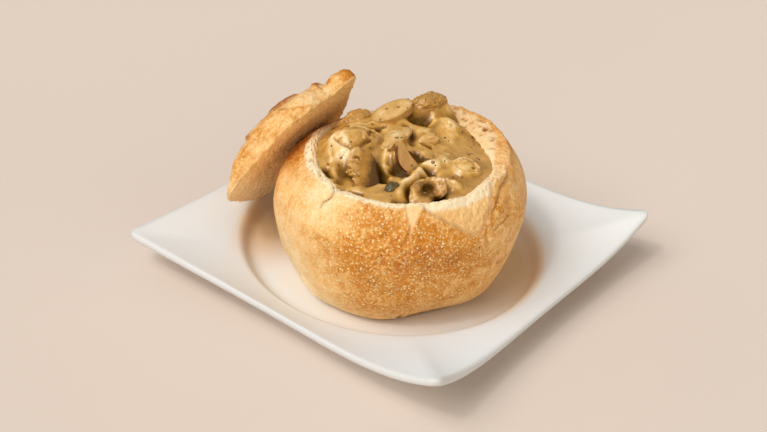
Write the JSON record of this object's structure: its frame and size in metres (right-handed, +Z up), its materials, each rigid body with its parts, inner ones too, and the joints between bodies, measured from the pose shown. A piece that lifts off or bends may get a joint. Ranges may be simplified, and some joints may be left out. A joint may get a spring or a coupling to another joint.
{
  "type": "filled bread bowl on a plate",
  "caption": "Round crusty loaf hollowed out as a bowl and heaped with creamy beef and mushroom stew, its cut-off top leaning beside it on a square plate with a round well.",
  "frame": {"origin": "on the table under the middle of the plate's square outline", "axes": "+Z up; +X and +Y square to the plate's sides; the picture looks from the corner between +X and -Y"},
  "size_m": [0.217, 0.217, 0.1048],
  "materials": {
    "glaze": "satin white glazed porcelain",
    "bread": "matte baked crust and crumb",
    "sauce": "glossy cream sauce",
    "beef": "sauce-coated meat",
    "mushroom": "sauce-coated mushroom"
  },
  "bodies": {
    "root": {"plate": "glaze", "bread_bowl": "bread", "bread_lid": "bread", "sauce": "sauce", "beef_top": "beef", "beef_back": "beef", "beef_left_back": "beef", "beef_middle": "beef", "beef_front": "beef", "beef_right": "beef", "beef_rim": "beef", "beef_tip": "beef", "mushroom_slice_top": "mushroom", "mushroom_slice_middle": "mushroom", "mushroom_half": "mushroom", "mushroom_cap_front": "mushroom", "mushroom_cap_right": "mushroom", "mushroom_stem_front": "mushroom"}
  },
  "joints": []
}
